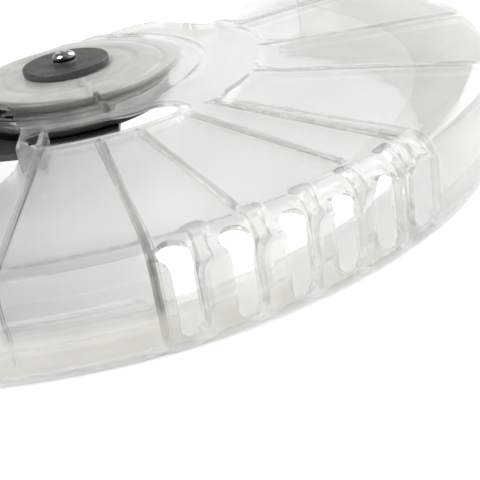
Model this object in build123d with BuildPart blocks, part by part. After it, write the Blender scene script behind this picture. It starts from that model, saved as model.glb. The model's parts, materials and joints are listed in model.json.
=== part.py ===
"""Lower blade guard of a compound mitre saw: clear fan-shaped guard on a sprung pivot and a steel bracket."""
from build123d import *
from math import cos, radians, sin
import os

os.makedirs("parts", exist_ok=True)

# Each piece is drawn about the pivot: +Z along the pivot axis towards the screw head, z = 0 at the guard's
# lowest face. The finished pieces then move together to the frame's origin, midway between the two bolt
# holes of the bracket's arm, on the bracket's top face.

# Clear guard, sized for a 305 mm blade
GUARD_R = 165.0
WALL = 2.8
RIM_ROUND = 10.0
SOLE_ROUND = 6.0
SOLE_R = 134.0
FAN_Z_RIM = 34.6
FAN_Z_HUB = 36.8
FAN_INNER_R = 40.0

# Clear hub on the pivot
BOSS_R = 37.0
BOSS_Z = 40.0
BOSS_ROUND = 3.0
TUBE_R = 14.0
TUBE_Z = 28.0
CRESCENT_R = 68.5
CRESCENT_W = 13.0
CRESCENT_FROM = -92.0
CRESCENT_TO = -58.0

# Ribs and vents of the guard, as plan angles in degrees
RIB_ANGLES = (-92.9, -78.4, -68.5, -54.5, -42.9, -18.8, 5.5, 29.7)
RIBS_OVER_RIM = (-92.9, -78.4, -42.9)
RIB_H = 1.2
RIB_W = 2.0
RIB_INNER_R = 78.0
SLOT_COUNT = 6
SLOT_PITCH = 6.04
SLOT_FIRST = -76.5
SLOT_W = 9.6
SLOT_Z = 5.5
SLOT_INNER_R = 154.5
SLOT_ROUND = 2.6

# Pivot stack
SCREW_R = 2.5
HEAD_R = 4.65
HEAD_H = 3.4
DISC_R = 17.0
DISC_T = 2.2
DISC_BOTTOM = 40.8
SLEEVE_R = 8.0
BUSH_R = 11.0
RUN_GAP = 0.05
SLIP = 0.02
BORE_R = 2.65
NUT_BOTTOM = 17.8
SCREW_TIP = 2.5

# Steel bracket
PLATE_Z = 23.0
PLATE_T = 2.5
PLATE_R = 43.0
PLATE_CUT_X = 19.0
ARM_END_X = -92.0
ARM_END_R = 16.0
ARM_HOLE_X = (-52.0, -92.0)
ARM_HOLE_R = 3.3
LOCATING_HOLE = (-27.0, -41.0)
LOCATING_HOLE_R = 3.0

# Spring and its housing
CUP_R = 39.5
CUP_WALL = 1.2
CUP_TOP = 33.2
CUP_BORE_R = 8.4
RIVET_R = 1.6
CUP_RIVET_R = 33.0
CUP_RIVET_ANGLES = (80.0, 180.0, 250.0)
SPRING_R = 21.0
WIRE_R = 0.8
SPRING_TURNS = 3
SPRING_PITCH = 1.8
SPRING_TURN = -110.0
LEG_LONG = 20.0
LEG_GRIP = 17.0
POST_R = 2.2
PIN_R = 1.5

# End stops: one sleeve for the closed guard and one for the open guard
STOP_R = 50.0
STOP_ANGLES = (64.6, 195.6)
STUD_R = 2.5
STOP_SLEEVE_R = 6.0
STOP_TOP = 33.4
TAB_R = 8.0

# Clear lugs under the deck
LUG_ANGLE = 74.0
LUG_LONG = 12.0
LUG_THICK = 4.0
BLOCK_AT = (-8.5, -62.0)
BLOCK_SIZE = (9.0, 20.0)
BLOCK_Z = 25.0

PLATE_TOP = PLATE_Z + PLATE_T
DISC_TOP = DISC_BOTTOM + DISC_T
DECK_Z = FAN_Z_HUB - WALL
FLOOR_TOP = PLATE_TOP + CUP_WALL
COIL_BOTTOM = FLOOR_TOP + WIRE_R + 1.2
COIL_TOP = COIL_BOTTOM + SPRING_TURNS * SPRING_PITCH


def polar(r, angle):
    """Plan position at a radius and an angle in degrees."""
    return (r * cos(radians(angle)), r * sin(radians(angle)))


def leg_spot(offset, side):
    """Plan position of what a spring leg bears on: side is +1 at the moving leg, -1 at the fixed leg."""
    x = SPRING_R + WIRE_R + offset + SLIP
    turn = radians(SPRING_TURN)
    y = side * LEG_GRIP
    return (x * cos(turn) - y * sin(turn), x * sin(turn) + y * cos(turn))


def cylinder(r, z0, z1, hole=0.0, at=(0.0, 0.0)):
    """A plain round piece, or a ring when it has a hole, standing between two heights."""
    with Locations((at[0], at[1], z0)):
        Cylinder(r, z1 - z0, align=(Align.CENTER, Align.CENTER, Align.MIN))
        if hole > 0:
            Cylinder(hole, z1 - z0, align=(Align.CENTER, Align.CENTER, Align.MIN), mode=Mode.SUBTRACT)


def guard_section(grow=0.0):
    """Half section of the guard wall from the hub out over the rim and in along the sole."""
    outer = GUARD_R + grow
    with BuildSketch(Plane.XZ) as section:
        with BuildLine():
            Polyline(
                (FAN_INNER_R, DECK_Z),
                (FAN_INNER_R, FAN_Z_HUB + grow),
                (outer, FAN_Z_RIM + grow),
                (outer, 0),
                (SOLE_R, 0),
                (SOLE_R, WALL),
                (GUARD_R - WALL, WALL),
                (GUARD_R - WALL, FAN_Z_RIM - WALL),
                close=True,
            )
        make_face()
        corners = section.vertices()
        fillet(corners.filter_by(lambda v: v.X > GUARD_R - 0.5 and v.Z > 20), RIM_ROUND + grow)
        corners = section.vertices()
        fillet(corners.filter_by(lambda v: v.X > GUARD_R - 0.5 and v.Z < 1), SOLE_ROUND)
        corners = section.vertices()
        inner = corners.filter_by(lambda v: abs(v.X - GUARD_R + WALL) < 0.1)
        fillet(inner.filter_by(lambda v: v.Z > 20), RIM_ROUND - WALL)
        inner = section.vertices().filter_by(lambda v: abs(v.X - GUARD_R + WALL) < 0.1)
        fillet(inner.filter_by(lambda v: v.Z < 5), SOLE_ROUND - WALL)
    return section.sketch


def guard_outline():
    """Plan of the guard: a sector of about 160 degrees with a round hub and a lobe behind it."""
    with BuildSketch() as outline:
        with BuildLine():
            Polyline(
                (-22.8, 29.2),
                (30.0, 70.0),
                (59.0, 45.0),
                (110.0, 133.0),
                (240.0, 133.0),
                (240.0, -240.0),
                (-104.0, -240.0),
                (-9.5, -92.0),
                (-13.0, -53.0),
                (-24.0, -20.0),
                close=True,
            )
        make_face()
        lobe = outline.vertices().sort_by_distance((30.0, 70.0, 0))[0]
        fillet(lobe, 12.0)
        notch = outline.vertices().sort_by_distance((59.0, 45.0, 0))[0]
        fillet(notch, 6.0)
        flare = outline.vertices().sort_by_distance((-9.5, -92.0, 0))[0]
        fillet(flare, 30.0)
        Circle(BOSS_R)
    return outline.sketch


# Clear guard, one moulding: fan, rim, sole, hub, lugs, ribs and vents

crescent_line = CenterArc((0, 0), CRESCENT_R, CRESCENT_FROM, CRESCENT_TO - CRESCENT_FROM)

with BuildPart() as clear_guard:
    add(guard_section())
    revolve(axis=Axis.Z, revolution_arc=360)
    with BuildSketch(Plane.XY.offset(-5)):
        add(guard_outline())
    extrude(amount=60, mode=Mode.INTERSECT)
    # deck between the fan and the hub, then the raised boss
    with BuildSketch(Plane.XY.offset(DECK_Z)):
        add(guard_outline())
        Circle(FAN_INNER_R + 2, mode=Mode.INTERSECT)
    extrude(amount=WALL)
    cylinder(BOSS_R, DECK_Z, BOSS_Z)
    rim_of_boss = clear_guard.faces().filter_by(Axis.Z).sort_by(Axis.Z)[-1].edges()
    fillet(rim_of_boss, BOSS_ROUND)
    with Locations((0, 0, DECK_Z)):
        Cylinder(
            BOSS_R - WALL,
            BOSS_Z - FAN_Z_HUB,
            align=(Align.CENTER, Align.CENTER, Align.MIN),
            mode=Mode.SUBTRACT,
        )
    cylinder(TUBE_R, TUBE_Z, BOSS_Z)
    # lug under the deck that lands on the stop sleeves, and the hollow block beside the crescent
    with Locations(Rot(0, 0, LUG_ANGLE) * Pos(STOP_R, 0, FLOOR_TOP)):
        Box(LUG_LONG, LUG_THICK, DECK_Z - FLOOR_TOP + 1, align=(Align.CENTER, Align.CENTER, Align.MIN))
    with Locations((*BLOCK_AT, BLOCK_Z)):
        Box(*BLOCK_SIZE, DECK_Z - BLOCK_Z + 1, align=(Align.CENTER, Align.CENTER, Align.MIN))
        Box(
            BLOCK_SIZE[0] - 4,
            BLOCK_SIZE[1] - 4,
            DECK_Z - BLOCK_Z - 1,
            align=(Align.CENTER, Align.CENTER, Align.MIN),
            mode=Mode.SUBTRACT,
        )
    # ribs: thin slices of a slightly thicker guard
    for angle in RIB_ANGLES:
        wraps = angle in RIBS_OVER_RIM
        with BuildPart(mode=Mode.PRIVATE) as rib:
            add(guard_section(RIB_H))
            revolve(axis=Axis.Z, revolution_arc=360)
            low = SOLE_ROUND + 2 if wraps else FAN_Z_RIM - 2.5
            reach = GUARD_R + 4 if wraps else GUARD_R - 7
            with Locations(Rot(0, 0, angle) * Pos(RIB_INNER_R, 0, low)):
                Box(
                    reach - RIB_INNER_R,
                    RIB_W,
                    42 - low,
                    align=(Align.MIN, Align.CENTER, Align.MIN),
                    mode=Mode.INTERSECT,
                )
        add(rib.part)
    # vents over the rim, each with rounded corners
    for index in range(SLOT_COUNT):
        angle = SLOT_FIRST + index * SLOT_PITCH
        with BuildPart(mode=Mode.PRIVATE) as vent:
            with Locations(Rot(0, 0, angle) * Pos(SLOT_INNER_R, 0, SLOT_Z)):
                Box(20, SLOT_W, 40, align=(Align.MIN, Align.CENTER, Align.MIN))
            inner_face = vent.faces().sort_by_distance((0, 0, 25))[0]
            fillet(inner_face.edges().filter_by(Axis.Z), SLOT_ROUND)
        add(vent.part, mode=Mode.SUBTRACT)
    # crescent opening between the deck and the fan
    with BuildSketch(Plane.XY.offset(DECK_Z - 1)):
        SlotArc(arc=crescent_line, height=CRESCENT_W)
    extrude(amount=WALL + 4, mode=Mode.SUBTRACT)
    # seats for the bush and for the pin that pulls the spring
    with Locations((0, 0, TUBE_Z - 1)):
        Cylinder(
            BUSH_R + SLIP,
            BOSS_Z - TUBE_Z + 2,
            align=(Align.CENTER, Align.CENTER, Align.MIN),
            mode=Mode.SUBTRACT,
        )
    with Locations((*leg_spot(PIN_R, 1), BOSS_Z - WALL - 1)):
        Cylinder(
            PIN_R + SLIP,
            WALL + 2,
            align=(Align.CENTER, Align.CENTER, Align.MIN),
            mode=Mode.SUBTRACT,
        )
clear_guard.part.label = "clear_guard"

# Acetal bush pressed in the clear tube, running on the steel sleeve

with BuildPart() as hub_bush:
    cylinder(BUSH_R, TUBE_Z, BOSS_Z - 0.1, SLEEVE_R + RUN_GAP)
hub_bush.part.label = "hub_bush"

# Steel pin in the boss that carries the moving leg of the spring

with BuildPart() as spring_pin:
    cylinder(PIN_R, COIL_TOP - 2.0, BOSS_Z - 0.2, 0, leg_spot(PIN_R, 1))
spring_pin.part.label = "spring_pin"

# Steel bracket: round plate under the hub, cut flat on one side, with a tapering arm on the other

with BuildPart() as bracket:
    with BuildSketch(Plane.XY.offset(PLATE_Z)):
        Circle(PLATE_R)
        with BuildLine():
            Polyline(
                (-16.0, 39.9),
                (ARM_END_X, ARM_END_R),
                (ARM_END_X, -ARM_END_R),
                (-50.0, -41.0),
                (-17.0, -47.5),
                (-18.0, -30.0),
                close=True,
            )
        make_face()
        with Locations((ARM_END_X, 0)):
            Circle(ARM_END_R)
        with Locations((PLATE_CUT_X, 0)):
            Rectangle(40, 100, align=(Align.MIN, Align.CENTER), mode=Mode.SUBTRACT)
        with Locations(Rot(0, 0, STOP_ANGLES[0]) * Pos(PLATE_R - 8, 0, 0)):
            Rectangle(STOP_R - PLATE_R + 8, 2 * TAB_R, align=(Align.MIN, Align.CENTER))
        with Locations(polar(STOP_R, STOP_ANGLES[0])):
            Circle(TAB_R)
        Circle(BORE_R, mode=Mode.SUBTRACT)
        with Locations(*[(x, 0) for x in ARM_HOLE_X]):
            Circle(ARM_HOLE_R, mode=Mode.SUBTRACT)
        with Locations(LOCATING_HOLE):
            Circle(LOCATING_HOLE_R, mode=Mode.SUBTRACT)
        with Locations(*[polar(STOP_R, angle) for angle in STOP_ANGLES]):
            Circle(STUD_R + SLIP, mode=Mode.SUBTRACT)
        with Locations(leg_spot(POST_R, -1)):
            Circle(POST_R + SLIP, mode=Mode.SUBTRACT)
        with Locations(*[polar(CUP_RIVET_R, angle) for angle in CUP_RIVET_ANGLES]):
            Circle(RIVET_R + SLIP, mode=Mode.SUBTRACT)
    extrude(amount=PLATE_T)
bracket.part.label = "bracket"

# Pressed steel housing for the return spring, riveted to the bracket

with BuildPart() as spring_cup:
    with BuildSketch(Plane.XZ):
        with BuildLine():
            Polyline(
                (CUP_BORE_R, PLATE_TOP),
                (CUP_R, PLATE_TOP),
                (CUP_R, CUP_TOP),
                (CUP_R - CUP_WALL, CUP_TOP),
                (CUP_R - CUP_WALL, FLOOR_TOP),
                (CUP_BORE_R, FLOOR_TOP),
                close=True,
            )
        make_face()
    revolve(axis=Axis.Z, revolution_arc=360)
    outer_foot = spring_cup.edges().filter_by(GeomType.CIRCLE).group_by(Axis.Z)[0].sort_by(SortBy.RADIUS)[-1]
    fillet(outer_foot, 1.0)
    holes = [polar(CUP_RIVET_R, angle) for angle in CUP_RIVET_ANGLES]
    with Locations(*[(x, y, PLATE_TOP) for x, y in holes]):
        Cylinder(RIVET_R + SLIP, CUP_WALL * 3, mode=Mode.SUBTRACT)
    with Locations((*leg_spot(POST_R, -1), PLATE_TOP)):
        Cylinder(POST_R + SLIP, CUP_WALL * 3, mode=Mode.SUBTRACT)
spring_cup.part.label = "spring_cup"

# Three rivets that hold the housing, one group

with BuildPart() as cup_rivets:
    for angle in CUP_RIVET_ANGLES:
        spot = polar(CUP_RIVET_R, angle)
        cylinder(RIVET_R, PLATE_Z, FLOOR_TOP, 0, spot)
        cylinder(RIVET_R * 1.8, FLOOR_TOP, FLOOR_TOP + 1.2, 0, spot)
        cylinder(RIVET_R * 1.8, PLATE_Z - 1.0, PLATE_Z, 0, spot)
cup_rivets.part.label = "cup_rivets"

# Hardened sleeve that the guard turns on

with BuildPart() as pivot_sleeve:
    cylinder(SLEEVE_R, PLATE_TOP, DISC_BOTTOM, BORE_R)
    ends = pivot_sleeve.edges().filter_by(GeomType.CIRCLE).sort_by(SortBy.RADIUS)[-2:]
    chamfer(ends, 0.3)
pivot_sleeve.part.label = "pivot_sleeve"

# Lower thrust washer between the housing floor and the clear tube

with BuildPart() as lower_thrust_washer:
    cylinder(TUBE_R - 0.5, FLOOR_TOP, FLOOR_TOP + 1.2, SLEEVE_R + 0.2)
lower_thrust_washer.part.label = "lower_thrust_washer"

# Upper thrust washer between the clear boss and the retaining disc

with BuildPart() as upper_thrust_washer:
    cylinder(DISC_R - 2.2, BOSS_Z + RUN_GAP, DISC_BOTTOM, SLEEVE_R + 0.2)
upper_thrust_washer.part.label = "upper_thrust_washer"

# Return spring: coil round the clear tube with a straight leg at each end, one wire

STEPS_PER_TURN = 16
coil_steps = SPRING_TURNS * STEPS_PER_TURN
coil_points = [
    (
        SPRING_R * cos(radians(360 * step / STEPS_PER_TURN)),
        SPRING_R * sin(radians(360 * step / STEPS_PER_TURN)),
        COIL_BOTTOM + SPRING_PITCH * step / STEPS_PER_TURN,
    )
    for step in range(coil_steps + 1)
]
fixed_leg = [(SPRING_R, -LEG_LONG * part, COIL_BOTTOM) for part in (1, 0.75, 0.5, 0.25)]
moving_leg = [(SPRING_R, LEG_LONG * part, COIL_TOP) for part in (0.25, 0.5, 0.75, 1)]

with BuildPart() as return_spring:
    with BuildLine(Plane.XY.rotated((0, 0, SPRING_TURN))) as wire:
        Spline(*fixed_leg, *coil_points, *moving_leg)
    with BuildSketch(Plane(origin=wire.line @ 0, z_dir=wire.line % 0)):
        Circle(WIRE_R)
    sweep(path=wire.line)
return_spring.part.label = "return_spring"

# Post on the bracket that the fixed leg of the spring bears on

with BuildPart() as spring_anchor:
    cylinder(POST_R, PLATE_Z, COIL_BOTTOM + 2.0, 0, leg_spot(POST_R, -1))
spring_anchor.part.label = "spring_anchor"

# Black retaining disc with a small bevel round its top

with BuildPart() as retaining_disc:
    cylinder(DISC_R, DISC_BOTTOM, DISC_TOP, BORE_R)
    edge = retaining_disc.edges().filter_by(GeomType.CIRCLE).sort_by(Axis.Z)[-2:].sort_by(SortBy.RADIUS)[-1]
    chamfer(edge, 0.3)
retaining_disc.part.label = "retaining_disc"

# Plain washer under the screw head

with BuildPart() as head_washer:
    cylinder(HEAD_R + 0.15, DISC_TOP, DISC_TOP + 0.8, BORE_R)
head_washer.part.label = "head_washer"

# Pan-head pivot screw with a cross recess

with BuildPart() as pivot_screw:
    seat = DISC_TOP + 0.8
    cylinder(SCREW_R, NUT_BOTTOM - SCREW_TIP, seat)
    cylinder(HEAD_R, seat, seat + HEAD_H)
    crown = pivot_screw.edges().filter_by(GeomType.CIRCLE).sort_by(Axis.Z)[-1]
    fillet(crown, HEAD_H * 0.55)
    with Locations((0, 0, seat + HEAD_H)):
        Box(4.6, 1.1, 3.2, mode=Mode.SUBTRACT)
        Box(1.1, 4.6, 3.2, mode=Mode.SUBTRACT)
    tip = pivot_screw.edges().filter_by(GeomType.CIRCLE).sort_by(Axis.Z)[0]
    chamfer(tip, 0.5)
pivot_screw.part.label = "pivot_screw"

# Lock nut and its washer under the bracket

with BuildPart() as nut_washer:
    cylinder(5.0, PLATE_Z - 1.0, PLATE_Z, BORE_R)
nut_washer.part.label = "nut_washer"

with BuildPart() as lock_nut:
    with BuildSketch(Plane.XY.offset(NUT_BOTTOM)):
        RegularPolygon(4.0, 6, major_radius=False)
        Circle(SCREW_R + SLIP, mode=Mode.SUBTRACT)
    extrude(amount=PLATE_Z - 1.0 - NUT_BOTTOM)
lock_nut.part.label = "lock_nut"

# Felt ring in the housing that keeps dust off the spring

with BuildPart() as felt_seal:
    cylinder(CUP_R - CUP_WALL - SLIP, FLOOR_TOP + 2.5, CUP_TOP, CUP_R - CUP_WALL - 2.0)
felt_seal.part.label = "felt_seal"

# End stops: studs clenched in the bracket, rubber sleeves and push-on clips, each a group of two

SLEEVE_FOOT = PLATE_TOP + 0.8

with BuildPart() as stop_studs:
    for angle in STOP_ANGLES:
        spot = polar(STOP_R, angle)
        cylinder(STUD_R, PLATE_Z, STOP_TOP, 0, spot)
        cylinder(STUD_R + 1.5, PLATE_TOP, SLEEVE_FOOT, 0, spot)
stop_studs.part.label = "stop_studs"

with BuildPart() as stop_sleeves:
    for angle in STOP_ANGLES:
        cylinder(STOP_SLEEVE_R, SLEEVE_FOOT, STOP_TOP - 1.2, STUD_R + SLIP, polar(STOP_R, angle))
stop_sleeves.part.label = "stop_sleeves"

with BuildPart() as stop_clips:
    for angle in STOP_ANGLES:
        cylinder(STUD_R + 1.6, STOP_TOP - 1.2, STOP_TOP - 0.4, STUD_R + SLIP, polar(STOP_R, angle))
stop_clips.part.label = "stop_clips"

PIECES = [
    clear_guard,
    hub_bush,
    spring_pin,
    bracket,
    spring_cup,
    cup_rivets,
    pivot_sleeve,
    lower_thrust_washer,
    upper_thrust_washer,
    return_spring,
    spring_anchor,
    felt_seal,
    retaining_disc,
    head_washer,
    pivot_screw,
    nut_washer,
    lock_nut,
    stop_studs,
    stop_sleeves,
    stop_clips,
]

pivot_place = Location((-sum(ARM_HOLE_X) / 2, 0, -PLATE_TOP))

for piece in PIECES:
    piece.part.move(pivot_place)
    export_step(piece.part, f"parts/{piece.part.label}.step")
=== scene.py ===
import json

import bpy
import numpy as np
from mathutils import Matrix, Vector


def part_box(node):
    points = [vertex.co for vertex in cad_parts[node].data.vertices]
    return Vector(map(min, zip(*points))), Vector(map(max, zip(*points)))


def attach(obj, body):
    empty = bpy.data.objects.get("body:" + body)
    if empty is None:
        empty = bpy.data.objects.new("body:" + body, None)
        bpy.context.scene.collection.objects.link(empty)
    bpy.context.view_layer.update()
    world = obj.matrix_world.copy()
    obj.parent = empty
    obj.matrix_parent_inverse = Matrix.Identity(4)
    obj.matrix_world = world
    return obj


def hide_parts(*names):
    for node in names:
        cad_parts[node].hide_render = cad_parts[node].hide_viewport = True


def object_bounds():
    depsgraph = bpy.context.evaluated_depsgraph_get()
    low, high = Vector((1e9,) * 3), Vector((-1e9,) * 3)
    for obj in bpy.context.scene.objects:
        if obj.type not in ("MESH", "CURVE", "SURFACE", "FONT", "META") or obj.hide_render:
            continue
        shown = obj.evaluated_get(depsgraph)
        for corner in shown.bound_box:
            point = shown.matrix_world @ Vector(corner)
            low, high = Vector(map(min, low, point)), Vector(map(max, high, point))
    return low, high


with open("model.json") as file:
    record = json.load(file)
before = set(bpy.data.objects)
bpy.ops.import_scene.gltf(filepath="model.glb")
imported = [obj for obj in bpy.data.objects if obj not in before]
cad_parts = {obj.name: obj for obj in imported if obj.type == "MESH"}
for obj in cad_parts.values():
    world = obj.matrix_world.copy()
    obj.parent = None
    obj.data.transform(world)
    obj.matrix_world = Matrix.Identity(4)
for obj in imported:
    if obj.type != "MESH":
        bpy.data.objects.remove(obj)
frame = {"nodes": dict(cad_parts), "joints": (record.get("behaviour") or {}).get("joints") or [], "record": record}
cad_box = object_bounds()

# Looks of the lower blade guard: clear moulded guard, black disc, chrome screw and steel bracket.

MM = 0.001

# The pivot axis, at the height of the guard's lowest face, comes from the frame's own joint.
JOINT_HEIGHT = 33.0 * MM
PIVOT = Vector(frame["joints"][0]["pos_m"]) - Vector((0.0, 0.0, JOINT_HEIGHT))

# Guard shell: millimetres and degrees about the pivot
WALL = 2.8
RIM_R = 165.0
RIM_ROUND = 10.0
SOLE_ROUND = 6.0
SOLE_R = 134.2
FAN_R = 40.0
FAN_Z = 36.8
FAN_SLOPE = -2.2 / 125.0
BOSS_R = 37.0
BOSS_Z = 40.0

# Hub: a dome from its flat top down to the deck, with shallow grooves and a gusset in front
DOME_FLAT_R = 31.0
DOME_R = 49.0
BORE_R = 11.1
GROOVES = ((26.5, 0.7, 1.2, 1.0), (38.0, 0.6, 0.25, 0.45))
GUSSET_ANGLE = -70.0
GUSSET_RISE = 1.4
PLATEAU_RISE = 0.9

# Crescent opening between hub and fan
CRESCENT_R = 68.5
CRESCENT_HALF = 6.5
CRESCENT_ANGLES = (-92.0, -58.0)
CRESCENT_CUT = 3.5
LIP_SHARE = 0.3
LIP_WIDE = (0.2, 4.5)

# Ribs by angle, with rises, and the sunk panels as first angle, last angle and inner radius
RIBS_OVER_RIM = ((-92.9, 0.5), (-78.4, 1.0))
SHORT_RIBS = (-68.5, -54.5)
SHORT_RIB_RISE = 0.9
WIDE_RIB = (-47.6, -44.2)
WIDE_RIB_RISE = 1.1
POCKETS = ((-44.2, -21.6, 77.0), (-20.6, 2.4, 76.0), (3.4, 28.8, 79.5), (30.4, 58.0, 82.0))
POCKET_DEEP = 2.0
POCKET_CORNER = 11.0
CREASE_DEEP = 1.3

# Under the deck: bush tube, hollow block and stop lug, whose tops end ROOT below the outer face
ROOT = 1.0
TUBE_R = 14.0
TUBE_Z = 28.0
BLOCK_AT = (-8.5, -62.0)
BLOCK_SIZE = (9.0, 20.0)
BLOCK_Z = 25.0
LUG_ANGLE = 74.0
LUG_SIZE = (12.0, 4.0)
LUG_Z = 26.7
STOP_R = 50.0

# Pivot screw
HEAD_R = 4.65
HEAD_H = 3.4
SHANK_R = 2.5
CROSS_TURN = np.radians(38)
POLE_R = 0.05

# Vents, and the bars between them
VENT_COUNT = 6
VENT_PITCH = 6.04
VENT_FIRST = -78.2
VENT_WIDE = 3.4
VENT_TOP_DROP = 4.6
VENT_TOP_STEP = 1.2
VENT_BOTTOM_Z = 5.5
VENT_ROUND = 4.2
VENT_WEB = 1.35
BAR_LEAN = 3.4
BAR_LEAN_MORE = 2.2
BAR_HUMP = 0.8


# Camera, world, floor and lights

def make_camera():
    """Camera a little above the guard, tilted 26 degrees down and rolled 9 degrees."""
    right = Vector((0.98643, -0.07318, -0.14698))
    up = Vector((0.16419, 0.43965, 0.88305))
    back = right.cross(up)
    data = bpy.data.cameras.new("camera")
    data.lens = 77.9
    data.sensor_width = 36.0
    camera = bpy.data.objects.new("camera", data)
    rotation = Matrix((right, up, back)).transposed().to_4x4()
    camera.matrix_world = Matrix.Translation(PIVOT + Vector((0.0561, -0.4001, 0.1524))) @ rotation
    bpy.context.collection.objects.link(camera)
    bpy.context.scene.camera = camera


def make_world():
    """White surroundings, darker overhead, to the left and in front, so that clear walls show their edges."""
    world = bpy.data.worlds.new("studio")
    world.use_nodes = True
    nodes, links = world.node_tree.nodes, world.node_tree.links
    background = nodes["Background"]
    x, y, z = axes_of(nodes, links, "Generated")
    shade = nodes.new("ShaderNodeMix")
    shade.data_type = "RGBA"
    shade.blend_type = "MULTIPLY"
    shade.inputs["Factor"].default_value = 1.0
    ramp_to(nodes, links, z, (1.0,), (0.22,), shade.inputs["A"], 0.10, 0.75)
    side = spread(nodes, links, x, -0.55, 0.45, 0.40, 1.0)
    depth = spread(nodes, links, y, -1.0, 1.0, 0.0, 1.0)
    front = maths(nodes, links, "MULTIPLY")
    links.new(side, front.inputs[0])
    ramp = ramp_to(nodes, links, depth, (0.16,), (1.0,), front.inputs[1], 0.08, 0.36)
    far = ramp.color_ramp.elements.new(0.95)
    far.color = (0.82, 0.82, 0.82, 1.0)
    links.new(front.outputs[0], shade.inputs["B"])
    links.new(shade.outputs["Result"], background.inputs["Color"])
    background.inputs["Strength"].default_value = 1.36
    bpy.context.scene.world = world


def make_light(name, place, target, size, watts):
    data = bpy.data.lights.new(name, "AREA")
    data.shape = "RECTANGLE"
    data.size, data.size_y = size
    data.energy = watts
    light = bpy.data.objects.new(name, data)
    light.location = place
    light.rotation_euler = (Vector(target) - Vector(place)).to_track_quat("-Z", "Y").to_euler()
    bpy.context.collection.objects.link(light)


def new_mesh(name, points, faces, smooth=True):
    """An object made from points and faces, in the scene."""
    mesh = bpy.data.meshes.new(name)
    mesh.from_pydata(points, [], faces)
    mesh.update()
    for polygon in mesh.polygons:
        polygon.use_smooth = smooth
    piece = bpy.data.objects.new(name, mesh)
    bpy.context.collection.objects.link(piece)
    return piece


def make_floor():
    half = 6.0
    level = cad_box[0][2] - 0.0002
    corners = [(-half, -half, level), (half, -half, level), (half, half, level), (-half, half, level)]
    floor = new_mesh("floor", corners, [(0, 1, 2, 3)], smooth=False)
    floor.data.materials.append(plain_floor())


# Materials

def new_material(name):
    material = bpy.data.materials.new(name)
    material.use_nodes = True
    nodes, links = material.node_tree.nodes, material.node_tree.links
    return material, nodes, links, nodes["Principled BSDF"]


def plain_floor():
    material, nodes, links, shader = new_material("floor")
    shader.inputs["Base Color"].default_value = (0.42, 0.42, 0.42, 1.0)
    shader.inputs["Roughness"].default_value = 0.9
    shader.inputs["Specular IOR Level"].default_value = 0.0
    shader.inputs["Emission Color"].default_value = (1.0, 1.0, 1.0, 1.0)
    shader.inputs["Emission Strength"].default_value = 0.88
    return material


def noise(nodes, links, scale, detail=3.0, stretch=(1.0, 1.0, 1.0)):
    """Noise in object space, in metres, stretched along the axes."""
    coordinates = nodes.new("ShaderNodeTexCoord")
    mapping = nodes.new("ShaderNodeMapping")
    mapping.inputs["Scale"].default_value = stretch
    texture = nodes.new("ShaderNodeTexNoise")
    texture.inputs["Scale"].default_value = scale
    texture.inputs["Detail"].default_value = detail
    links.new(coordinates.outputs["Object"], mapping.inputs["Vector"])
    links.new(mapping.outputs[0], texture.inputs["Vector"])
    return texture.outputs["Fac"]


def ramp_to(nodes, links, factor, low, high, target, start=0.3, end=0.7):
    """Spreads a factor over two colours or two greys and feeds a socket."""
    ramp = nodes.new("ShaderNodeValToRGB")
    ramp.color_ramp.elements[0].position = start
    ramp.color_ramp.elements[1].position = end
    ramp.color_ramp.elements[0].color = (*low, 1.0) if len(low) == 3 else (low[0],) * 3 + (1.0,)
    ramp.color_ramp.elements[1].color = (*high, 1.0) if len(high) == 3 else (high[0],) * 3 + (1.0,)
    links.new(factor, ramp.inputs[0])
    links.new(ramp.outputs[0], target)
    return ramp


def axes_of(nodes, links, kind):
    """X, Y and Z of a kind of texture coordinate."""
    coordinates = nodes.new("ShaderNodeTexCoord")
    split = nodes.new("ShaderNodeSeparateXYZ")
    links.new(coordinates.outputs[kind], split.inputs[0])
    return [split.outputs[axis] for axis in "XYZ"]


def spread(nodes, links, value, start, end, low, high):
    """Maps a value from one span to another, held at the ends."""
    node = nodes.new("ShaderNodeMapRange")
    node.inputs["From Min"].default_value = start
    node.inputs["From Max"].default_value = end
    node.inputs["To Min"].default_value = low
    node.inputs["To Max"].default_value = high
    links.new(value, node.inputs["Value"])
    return node.outputs[0]


def maths(nodes, links, operation, *values):
    """A two-input sum of the given kind, with as many inputs joined as there are values."""
    node = nodes.new("ShaderNodeMath")
    node.operation = operation
    for socket, value in zip(node.inputs, values):
        links.new(value, socket)
    return node


def bump(nodes, links, height, shader, strength, distance):
    """Small surface relief from a height, with its depth in metres."""
    node = nodes.new("ShaderNodeBump")
    node.inputs["Strength"].default_value = strength
    node.inputs["Distance"].default_value = distance
    links.new(height, node.inputs["Height"])
    links.new(node.outputs[0], shader.inputs["Normal"])


def hub_mask(nodes, links):
    """1 on the cloudy boss, a little off the pivot, 0 on the clear rest, with an uneven border."""
    coordinates = nodes.new("ShaderNodeTexCoord")
    flat = nodes.new("ShaderNodeVectorMath")
    flat.operation = "MULTIPLY_ADD"
    flat.inputs[1].default_value = (1.0, 1.0, 0.0)
    flat.inputs[2].default_value = (-3.5 * MM, -3.0 * MM, 0.0)
    length = nodes.new("ShaderNodeVectorMath")
    length.operation = "LENGTH"
    links.new(coordinates.outputs["Object"], flat.inputs[0])
    links.new(flat.outputs[0], length.inputs[0])
    reach = spread(nodes, links, length.outputs["Value"], 42.5 * MM, 39.5 * MM, 0.0, 1.0)
    uneven = spread(nodes, links, noise(nodes, links, 90.0), 0.0, 1.0, 0.78, 1.1)
    mask = maths(nodes, links, "MULTIPLY", reach, uneven)
    mask.use_clamp = True
    return mask.outputs[0]


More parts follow.
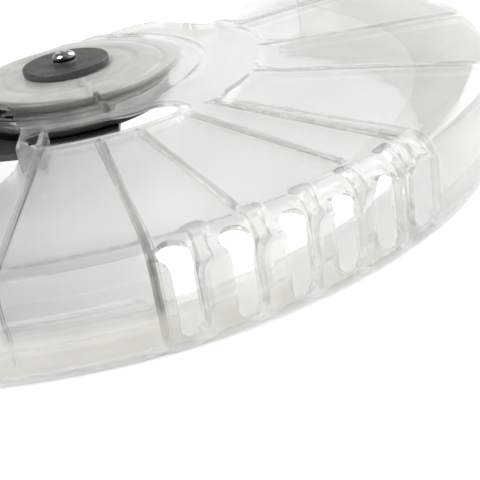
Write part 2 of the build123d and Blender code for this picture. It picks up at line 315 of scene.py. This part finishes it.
def painted_shade_tint(nodes, links):
    """Painted shade on the clear plastic: 1 on the fan, greyer towards the guard's tapered end and on the proud
    band at the front of its rim.
    """
    x, y, z = axes_of(nodes, links, "Object")
    # these greys are painted shade, not a real tint of the plastic
    end = spread(nodes, links, x, -8 * MM, 38 * MM, 0.52, 1.0)
    front = spread(nodes, links, y, -160 * MM, -146 * MM, 0.72, 1.0)
    low = spread(nodes, links, z, 14 * MM, 22 * MM, 1.0, 0.0)
    upper = maths(nodes, links, "MULTIPLY", end, front)
    return maths(nodes, links, "MAXIMUM", upper.outputs[0], low).outputs[0]


def clear_plastic():
    """Moulded polycarbonate: clear, faintly warm, with slow ripples, a few haze patches and painted shade greying
    it towards the tapered end and on the front band.
    """
    material, nodes, links, shader = new_material("clear_polycarbonate")
    shader.inputs["IOR"].default_value = 1.46
    milky = hub_mask(nodes, links)
    for socket, clear, cloudy in (("Transmission Weight", 1.0, 0.12), ("Alpha", 0.66, 0.98)):
        links.new(spread(nodes, links, milky, 0.0, 1.0, clear, cloudy), shader.inputs[socket])
    colour = nodes.new("ShaderNodeMix")
    colour.data_type = "RGBA"
    colour.inputs["B"].default_value = (0.97, 0.965, 0.91, 1.0)
    tone_and_shade = nodes.new("ShaderNodeMix")
    tone_and_shade.data_type = "RGBA"
    tone_and_shade.blend_type = "MULTIPLY"
    tone_and_shade.inputs["Factor"].default_value = 1.0
    patches = noise(nodes, links, 22.0)
    ramp_to(nodes, links, patches, (0.77, 0.77, 0.725), (0.86, 0.86, 0.815), tone_and_shade.inputs["A"])
    # painted shade: greys the plastic's colour towards the tapered end and on the front band
    links.new(painted_shade_tint(nodes, links), tone_and_shade.inputs["B"])
    links.new(tone_and_shade.outputs["Result"], colour.inputs["A"])
    links.new(milky, colour.inputs["Factor"])
    links.new(colour.outputs["Result"], shader.inputs["Base Color"])
    haze = noise(nodes, links, 60.0)
    ramp_to(nodes, links, haze, (0.02,), (0.07,), shader.inputs["Roughness"])
    bump(nodes, links, noise(nodes, links, 55.0, 1.0), shader, 0.2, 0.0005)
    return material


def metal(name, low, high, rough, scale, stretch=(1.0, 1.0, 1.0), metallic=1.0, depth=0.00004):
    """Metal or coated metal with fine variation in colour, roughness and surface."""
    material, nodes, links, shader = new_material(name)
    shader.inputs["Metallic"].default_value = metallic
    grain = noise(nodes, links, scale, 4.0, stretch)
    ramp_to(nodes, links, grain, low, high, shader.inputs["Base Color"])
    wear = noise(nodes, links, scale * 0.2, 3.0, stretch)
    ramp_to(nodes, links, wear, (rough * 0.75,), (rough * 1.3,), shader.inputs["Roughness"])
    bump(nodes, links, grain, shader, 0.4, depth)
    return material


# The clear guard: one sheet drawn from the hub out over the rim and in along the sole, then given its wall

def step(value, low, high):
    """Smooth rise from 0 to 1 between two values; falls when high is below low."""
    t = np.clip((value - low) / (high - low), 0.0, 1.0)
    return t * t * (3.0 - 2.0 * t)


def rounded_path(corners):
    """Closed outline through corners (x, y, radius), each rounded by an arc of its radius."""
    points = []
    count = len(corners)
    for index, (x, y, radius) in enumerate(corners):
        here = np.array((x, y))
        if radius == 0:
            points.append(here)
            continue
        before = np.array(corners[index - 1][:2]) - here
        after = np.array(corners[(index + 1) % count][:2]) - here
        before, after = before / np.linalg.norm(before), after / np.linalg.norm(after)
        half = np.arccos(np.clip(before @ after, -1, 1)) / 2
        middle = (before + after) / np.linalg.norm(before + after)
        centre = here + middle * radius / np.sin(half)
        first = here + before * radius / np.tan(half) - centre
        last = here + after * radius / np.tan(half) - centre
        start = np.arctan2(first[1], first[0])
        turn = (np.arctan2(last[1], last[0]) - start + np.pi) % (2 * np.pi) - np.pi
        for share in np.linspace(0, 1, 9):
            angle = start + turn * share
            points.append(centre + radius * np.array((np.cos(angle), np.sin(angle))))
    return np.array(points)


def inside_path(x, y, path):
    """Signed distance to a closed outline, positive inside."""
    nearest = np.full(x.shape, 1e9)
    inside = np.zeros(x.shape, dtype=bool)
    for (ax, ay), (bx, by) in zip(path, np.roll(path, -1, axis=0)):
        dx, dy = bx - ax, by - ay
        share = np.clip(((x - ax) * dx + (y - ay) * dy) / (dx * dx + dy * dy + 1e-12), 0, 1)
        nearest = np.minimum(nearest, np.hypot(x - ax - share * dx, y - ay - share * dy))
        crosses = ((ay > y) != (by > y)) & (x < dx * (y - ay) / (dy if dy else 1e-12) + ax)
        inside ^= crosses
    return np.where(inside, nearest, -nearest)


def guard_plan(x, y):
    """Positive inside the guard's plan: a sector with a round hub and a lobe behind it."""
    corners = [
        (-22.8, 29.2, 0), (30.0, 70.0, 12), (59.0, 45.0, 6), (110.0, 133.0, 0), (240.0, 133.0, 0),
        (240.0, -240.0, 0), (-104.0, -240.0, 0), (-9.5, -92.0, 30), (-13.0, -53.0, 0), (-24.0, -20.0, 0),
    ]
    return np.maximum(inside_path(x, y, rounded_path(corners)), BOSS_R - np.hypot(x, y))


def guard_profile():
    """Rows of the sheet: radius, height and outward direction in the half section, and the length along it."""
    rim_start = RIM_R - RIM_ROUND
    rows = []
    for r in np.concatenate((np.linspace(BORE_R, 42.0, 52), np.linspace(43.0, rim_start, 84))):
        fan = FAN_Z + FAN_SLOPE * max(r - FAN_R, 0)
        rows.append((r, fan + (BOSS_Z - FAN_Z) * step(r, DOME_R, DOME_FLAT_R), 0.0, 1.0))
    rim_z = FAN_Z + FAN_SLOPE * (rim_start - FAN_R) - RIM_ROUND
    for turn in np.radians(np.linspace(84, 0, 14)):
        c, d = np.cos(turn), np.sin(turn)
        rows.append((rim_start + RIM_ROUND * c, rim_z + RIM_ROUND * d, c, d))
    rows += [(RIM_R, z, 1.0, 0.0) for z in np.linspace(rim_z, SOLE_ROUND, 20)[1:]]
    for turn in np.radians(np.linspace(0, -90, 9)[1:]):
        c, d = np.cos(turn), np.sin(turn)
        rows.append((RIM_R - SOLE_ROUND + SOLE_ROUND * c, SOLE_ROUND + SOLE_ROUND * d, c, d))
    rows += [(r, 0.0, 0.0, -1.0) for r in np.linspace(RIM_R - SOLE_ROUND, SOLE_R, 13)[1:]]
    rows = np.array(rows)
    along = np.concatenate(([0], np.cumsum(np.hypot(np.diff(rows[:, 0]), np.diff(rows[:, 1])))))
    return rows, along


def guard_columns():
    """Plan angles of the sheet's columns: close over the fan, closer still at the edges of ribs and vents."""
    angles = set(np.round(np.arange(-112, 52.01, 0.6), 3)) | set(np.round(np.arange(54, 248, 2.0), 3))
    edges = [v for span in POCKETS for v in span[:2]] + list(WIDE_RIB)
    edges += [rib for rib, height in RIBS_OVER_RIM] + list(SHORT_RIBS)
    edges += [VENT_FIRST + i * VENT_PITCH + side for i in range(VENT_COUNT) for side in (0, VENT_WIDE)]
    for edge in edges:
        angles |= {round(edge + shift, 3) for shift in (-0.45, -0.3, -0.15, 0.0, 0.15, 0.3, 0.45)}
    ordered = sorted(angles)
    return np.array([a for i, a in enumerate(ordered) if i == 0 or a - ordered[i - 1] > 0.04])


def band(value, centre, half, edge):
    """1 within half of a centre, with soft edges."""
    return step(np.abs(value - centre), half + edge, half)


def rib_relief(r, z, angle, top, skirt):
    fan = step(r, 76, 80) * top
    rise = np.zeros(r.shape)
    for rib, height in RIBS_OVER_RIM:
        rise += height * band(angle, rib, 0.35, 0.3) * np.maximum(fan, skirt * step(z, 6, 9))
    for rib in SHORT_RIBS:
        rise += SHORT_RIB_RISE * band(angle, rib, 0.3, 0.3) * fan * step(r, 156, 151)
    wide = step(angle, WIDE_RIB[0], WIDE_RIB[0] + 0.45) * step(angle, WIDE_RIB[1] + 0.5, WIDE_RIB[1])
    return rise + WIDE_RIB_RISE * wide * np.maximum(fan, skirt * step(z, 7, 10))


def panel_relief(r, angle, top):
    """Sunk panels: sectors with rounded inner corners, deepest beside their first rib."""
    rise = np.zeros(r.shape)
    for low, high, start in POCKETS:
        across = np.radians(angle - low) * r
        other = np.radians(high - angle) * r
        deep = r - start
        qx, qy = np.maximum(POCKET_CORNER - across, 0), np.maximum(POCKET_CORNER - deep, 0)
        inner = POCKET_CORNER - np.hypot(qx, qy)
        edge = np.minimum(np.minimum(inner, other), np.minimum(across, deep))
        slope = np.clip(1.0 - 0.92 * (angle - low) / (high - low), 0.08, 1.0)
        rise -= POCKET_DEEP * slope * step(edge, 0.0, 1.5) * top * step(r, 163, 157)
    return rise


def skirt_relief(z, angle, skirt):
    """Bars that lean in and hump over the rim, and a creased band to the left of them."""
    turn = (angle - VENT_FIRST) % VENT_PITCH
    last = VENT_FIRST + (VENT_COUNT - 1) * VENT_PITCH
    zone = (angle > VENT_FIRST - 0.1) & (angle < last + 2.6)
    lean = np.where(turn < VENT_WIDE / 2 + 0.7, 1.0, step(turn, VENT_WIDE + 0.5, VENT_PITCH - 0.5))
    lean = (BAR_LEAN + BAR_LEAN_MORE * step(angle, -66, -50)) * lean * step(z, 34, 22) * step(z, 2.5, 10)
    bar = step(turn, VENT_WIDE - 0.1, VENT_WIDE + 0.5) * step(turn, VENT_PITCH, VENT_PITCH - 0.5)
    hump = BAR_HUMP * bar * step(z, 20, 30)
    crease = CREASE_DEEP * step(angle, -79.6, -80.8) * step(z, 20.5, 18.8) * step(z, 3.0, 8.0)
    return skirt * (np.where(zone, hump - lean, 0.0) - crease)


def hub_relief(r, angle, top):
    """A plateau behind the hub that ends in a soft edge, grooves round the disc and a gusset in front."""
    plateau = step(angle, -50, -20) * step(angle, 120, 96)
    rise = PLATEAU_RISE * plateau * step(r, 56, 54) * step(r, 38, 44)
    for centre, deep, half, edge in GROOVES:
        rise -= deep * band(r, centre, half, edge)
    gusset = band(np.radians(angle - GUSSET_ANGLE) * r, 0.0, 0.7, 0.7)
    rise += GUSSET_RISE * gusset * step(r, 20, 23) * step(r, 53, 50)
    return rise * top


def guard_relief(r, z, angle, top, skirt):
    """How far the surface stands out, in millimetres."""
    ribs = rib_relief(r, z, angle, top, skirt) + panel_relief(r, angle, top)
    return ribs + skirt_relief(z, angle, skirt) + hub_relief(r, angle, top)


def crescent_gap(r, angle):
    """Distance to the border of the crescent opening, whose hub side is cut back further at the front end."""
    middle = np.radians(np.clip(angle, *CRESCENT_ANGLES))
    turn = np.radians(angle)
    x, y = r * np.cos(turn), r * np.sin(turn)
    gap = np.hypot(x - CRESCENT_R * np.cos(middle), y - CRESCENT_R * np.sin(middle))
    inner = step(r, CRESCENT_R, CRESCENT_R - 2) * step(angle, -62, -76)
    return gap - CRESCENT_HALF - CRESCENT_CUT * inner


def guard_opening(r, z, angle, along, vent_span):
    """Negative inside the crescent and the vents. Each vent's left side bulges in as a D-shaped web."""
    web = VENT_WEB * step(z, 34.0, 24.0) * step(z, 3.0, 11.0)
    solid = crescent_gap(r, angle)
    for index in range(VENT_COUNT):
        centre = VENT_FIRST + index * VENT_PITCH + (VENT_WIDE + web) / 2
        half_wide = np.radians((VENT_WIDE - web) / 2) * RIM_R
        # the tops step down a little from one vent to the next
        low, high = vent_span[0] + VENT_TOP_STEP * index, vent_span[1]
        half_long = (high - low) / 2
        across = np.abs(np.radians(angle - centre) * RIM_R) - half_wide + VENT_ROUND
        length = np.abs(along - (low + high) / 2) - half_long + VENT_ROUND
        outside = np.hypot(np.maximum(across, 0), np.maximum(length, 0))
        solid = np.minimum(solid, outside + np.minimum(np.maximum(across, length), 0) - VENT_ROUND)
    return solid


def clip_grid(points, keep):
    """Faces of a grid that closes on itself, where keep is positive, cut along keep = 0."""
    rows, columns = keep.shape
    used, placed, faces = {}, [], []

    def corner(i, j):
        if (i, j) not in used:
            used[i, j] = len(placed)
            placed.append(points[i, j])
        return used[i, j]

    def cut(a, b):
        key = (min(a, b), max(a, b))
        if key not in used:
            share = keep[a] / (keep[a] - keep[b])
            share = min(max(share, 0.04), 0.96)
            used[key] = len(placed)
            placed.append(points[a] + share * (points[b] - points[a]))
        return used[key]

    for i in range(rows - 1):
        for j in range(columns):
            k = (j + 1) % columns
            loop = [(i, j), (i + 1, j), (i + 1, k), (i, k)]
            signs = [keep[c] > 0 for c in loop]
            if not any(signs):
                continue
            face = []
            for index, here in enumerate(loop):
                following = loop[(index + 1) % 4]
                if signs[index]:
                    face.append(corner(*here))
                if signs[index] != signs[(index + 1) % 4]:
                    face.append(cut(here, following))
            if len(face) > 2:
                faces.append(face)
    return placed, faces


def make_guard(material):
    """Shapes the sheet, cuts its plan, crescent and vents, and gives it its wall."""
    rows, along = guard_profile()
    angles = guard_columns()
    angle, index = np.meshgrid(angles, np.arange(len(rows)))
    r, z, out, up = (rows[index, k] for k in range(4))
    angle_fan = (angle + 180) % 360 - 180
    x, y = r * np.cos(np.radians(angle)), r * np.sin(np.radians(angle))
    top = np.clip(up, 0, 1)
    skirt = ((r > RIM_R - RIM_ROUND) & (z > 0.5)) * 1.0
    rise = guard_relief(r, z, angle_fan, top, skirt)
    rim_start = np.flatnonzero(rows[:, 0] >= RIM_R - RIM_ROUND)[0]
    start = along[rim_start] + VENT_TOP_DROP
    wall = np.flatnonzero((rows[:, 2] > 0.99) & (rows[:, 0] > RIM_R - 1))
    stop = np.interp(-VENT_BOTTOM_Z, -rows[wall, 1], along[wall])
    keep = np.minimum(guard_plan(x, y), guard_opening(r, z, angle_fan, along[index], (start, stop)))
    radius = r + rise * out
    height = z + rise * up
    turn = np.radians(angle)
    points = np.stack((radius * np.cos(turn), radius * np.sin(turn), height), axis=-1) * MM
    placed, faces = clip_grid(points, keep)
    piece = new_mesh("guard_shell", [tuple(p) for p in placed], faces)
    # the wall thins to a lip round the crescent opening
    x, y = (np.array(placed)[:, k] / MM for k in (0, 1))
    share = step(crescent_gap(np.hypot(x, y), np.degrees(np.arctan2(y, x))), *LIP_WIDE)
    group = piece.vertex_groups.new(name="wall")
    for vertex, weight in enumerate(LIP_SHARE + (1 - LIP_SHARE) * share):
        group.add([vertex], float(weight), "REPLACE")
    wall_modifier = piece.modifiers.new("wall", "SOLIDIFY")
    wall_modifier.vertex_group = "wall"
    wall_modifier.thickness = WALL * MM
    wall_modifier.offset = -1.0
    finish_mesh(piece, 42)
    piece.location = PIVOT
    piece.data.materials.append(material)
    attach(piece, "guard_body")
    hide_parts("clear_guard")


def rounded_box(at, size, radius, turn=0.0):
    """Plan of a box with rounded corners, standing at a place and turned by an angle in degrees."""
    wide, long = size[0] / 2, size[1] / 2
    signs = ((1, 1), (-1, 1), (-1, -1), (1, -1))
    path = rounded_path([(a * wide, b * long, radius) for a, b in signs])
    c, d = np.cos(np.radians(turn)), np.sin(np.radians(turn))
    return path @ np.array(((c, d), (-d, c))) + np.array(at)


def ring_of(radius, count=72):
    """Plan of a circle about the pivot."""
    turn = np.linspace(0, 2 * np.pi, count, endpoint=False)
    return np.stack((np.cos(turn), np.sin(turn)), axis=-1) * radius


def add_prism(points, faces, outer, inner, low, high):
    """A closed upright wall between two plans, or a solid one when there is no inner plan."""
    count, base = len(outer), len(points)
    for path in (outer,) if inner is None else (outer, inner):
        for z in (low, high):
            points += [(x * MM, y * MM, z * MM) for x, y in path]
    for a in range(count):
        b = (a + 1) % count
        faces.append((base + a, base + b, base + count + b, base + count + a))
        if inner is not None:
            deep = base + 2 * count
            faces.append((deep + b, deep + a, deep + count + a, deep + count + b))
            faces.append((base + b, base + a, deep + a, deep + b))
            faces.append((base + count + a, base + count + b, deep + count + b, deep + count + a))
    if inner is None:
        faces.append(tuple(range(base, base + count))[::-1])
        faces.append(tuple(range(base + count, base + 2 * count)))


def make_guard_inner(material):
    """Under the deck: the tube that holds the bush, the hollow block and the lug that meets the stops.

    Each runs up into the deck's wall, to a little below its outer face, so that none hangs free.
    """
    points, faces = [], []
    add_prism(points, faces, ring_of(TUBE_R), ring_of(BORE_R), TUBE_Z, BOSS_Z - ROOT)
    outer = rounded_box(BLOCK_AT, BLOCK_SIZE, 2.0)
    inner = rounded_box(BLOCK_AT, (BLOCK_SIZE[0] - 4, BLOCK_SIZE[1] - 4), 1.0)
    add_prism(points, faces, outer, inner, BLOCK_Z, FAN_Z - ROOT)
    turn = np.radians(LUG_ANGLE)
    place = (STOP_R * np.cos(turn), STOP_R * np.sin(turn))
    add_prism(points, faces, rounded_box(place, LUG_SIZE, 0.8, LUG_ANGLE), None, LUG_Z, FAN_Z - ROOT)
    piece = new_mesh("guard_inner", points, faces)
    edge = piece.modifiers.new("edge", "BEVEL")
    edge.width = 0.3 * MM
    edge.segments = 2
    edge.limit_method = "ANGLE"
    finish_mesh(piece, 40)
    piece.location = PIVOT
    piece.data.materials.append(material)
    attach(piece, "guard_body")
    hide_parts("clear_guard")


def make_screw(material):
    """Pan-head pivot screw: domed head with a tapered cross recess, plain shank and chamfered end."""
    low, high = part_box("pivot_screw")
    tip, crown = (low[2] - PIVOT.z) / MM, (high[2] - PIVOT.z) / MM
    seat = crown - HEAD_H
    head = np.radians(np.linspace(90, 6, 26))
    section = [(HEAD_R * np.cos(t) ** 0.8 + POLE_R, seat + 0.5 + (HEAD_H - 0.5) * np.sin(t)) for t in head]
    section += [(HEAD_R, seat), (SHANK_R, seat), (SHANK_R, tip + 0.5), (SHANK_R - 0.5, tip)]
    flat = [(r, crown) for r in np.linspace(0.15, 0.9, 6)]
    section = [(POLE_R, crown)] + flat + section[3:] + [(POLE_R, tip)]
    count = 144
    points, faces = [], []
    for index, (r, z) in enumerate(section):
        for turn in np.linspace(0, 2 * np.pi, count, endpoint=False):
            x, y = r * np.cos(turn), r * np.sin(turn)
            u, v = abs(r * np.cos(turn - CROSS_TURN)), abs(r * np.sin(turn - CROSS_TURN))
            arm, reach = min(u, v), max(u, v)
            cross = float(step(arm, 0.85, 0.45) * step(reach, 2.7, 2.0))
            sunk = 1.6 * cross if z > seat + 0.8 else 0.0
            points.append((x * MM, y * MM, (z - sunk) * MM))
        if index:
            for a in range(count):
                b = (a + 1) % count
                old, new = (index - 1) * count, index * count
                faces.append((old + a, new + a, new + b, old + b))
    faces.append(tuple(range(count))[::-1])
    faces.append(tuple(range((len(section) - 1) * count, len(section) * count)))
    piece = new_mesh("pivot_screw_turned", points, faces)
    finish_mesh(piece, 35)
    piece.location = PIVOT
    piece.data.materials.append(material)
    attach(piece, "bracket_body")
    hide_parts("pivot_screw")


def finish_mesh(piece, sharp_angle):
    """Applies a piece's modifiers and keeps only its true edges sharp."""
    bpy.context.view_layer.update()
    evaluated = piece.evaluated_get(bpy.context.evaluated_depsgraph_get())
    mesh = bpy.data.meshes.new_from_object(evaluated)
    piece.modifiers.clear()
    piece.data = mesh
    mesh.set_sharp_from_angle(angle=np.radians(sharp_angle))


def painted_reflection_foot(material, share, soft):
    """Paints the lowest share of a piece's height dark, with a soft border above it: painted shade and a painted
    reflection of the black piece below it.
    """
    nodes, links = material.node_tree.nodes, material.node_tree.links
    socket = nodes["Principled BSDF"].inputs["Base Color"]
    finish = socket.links[0].from_socket
    height = axes_of(nodes, links, "Generated")[2]
    mix = nodes.new("ShaderNodeMix")
    mix.data_type = "RGBA"
    # dark colour of the painted shade and reflection
    mix.inputs["A"].default_value = (0.030, 0.030, 0.027, 1.0)
    links.new(spread(nodes, links, height, share, share + soft, 0.0, 1.0), mix.inputs["Factor"])
    links.new(finish, mix.inputs["B"])
    links.new(mix.outputs["Result"], socket)


def make_materials():
    """One finish for each material slot."""
    brushed = {"stretch": (1, 1, 7), "depth": 0.00025}
    turned = {"stretch": (1, 1, 10)}
    plain = {"metallic": 0.0}
    # name: darker colour, lighter colour, roughness, grain per metre and what differs from plain metal
    looks = {
        "natural_acetal": ((0.70, 0.68, 0.60), (0.82, 0.80, 0.73), 0.42, 300, plain),
        "steel_pins": ((0.42, 0.42, 0.43), (0.62, 0.62, 0.63), 0.3, 900, {}),
        "black_steel": ((0.040, 0.040, 0.037), (0.085, 0.084, 0.078), 0.38, 700, {"metallic": 0.25}),
        "housing_steel": ((0.11, 0.108, 0.10), (0.86, 0.845, 0.80), 0.22, 110, brushed),
        "sleeve_steel": ((0.5, 0.5, 0.51), (0.66, 0.66, 0.67), 0.2, 300, turned),
        "spring_steel": ((0.42, 0.42, 0.42), (0.60, 0.60, 0.60), 0.3, 900, {}),
        "felt": ((0.17, 0.16, 0.15), (0.24, 0.23, 0.22), 0.95, 1500, {"metallic": 0.0, "depth": 0.0004}),
        "black_disc": ((0.068, 0.067, 0.060), (0.125, 0.123, 0.110), 0.36, 850, {"metallic": 0.35}),
        "screw_chrome": ((0.66, 0.66, 0.66), (0.86, 0.86, 0.86), 0.08, 500, {}),
        "black_rubber": ((0.012, 0.012, 0.012), (0.03, 0.03, 0.03), 0.7, 500, plain),
    }
    finishes = {"clear_polycarbonate": clear_plastic()}
    for name, (low, high, rough, scale, more) in looks.items():
        finishes[name] = metal(name, low, high, rough, scale, **more)
    # painted shade and reflection: the housing's foot darkened as if reflecting the black plate, the screw below
    # its crown as if reflecting the black disc
    painted_reflection_foot(finishes["housing_steel"], 0.36, 0.2)
    painted_reflection_foot(finishes["screw_chrome"], 0.925, 0.035)
    return finishes


def finish_cad_nodes(materials):
    """Gives each carried-over CAD node the finish of its slot in the record."""
    for entry in frame["record"]["subparts"]:
        node = frame["nodes"][entry["node"]]
        node.data.materials.clear()
        node.data.materials.append(materials[entry["material_slot"]])


make_camera()
make_world()
make_floor()
make_light("key", (-0.5, -0.3, 0.9), (0.03, -0.03, 0.02), (0.7, 0.7), 6.2)
make_light("rim", (0.7, 0.6, 0.6), (0.05, 0.0, 0.02), (0.5, 0.9), 3.0)
materials = make_materials()
finish_cad_nodes(materials)
make_guard(materials["clear_polycarbonate"])
make_guard_inner(materials["clear_polycarbonate"])
make_screw(materials["screw_chrome"])
bpy.context.scene.view_settings.view_transform = "Standard"
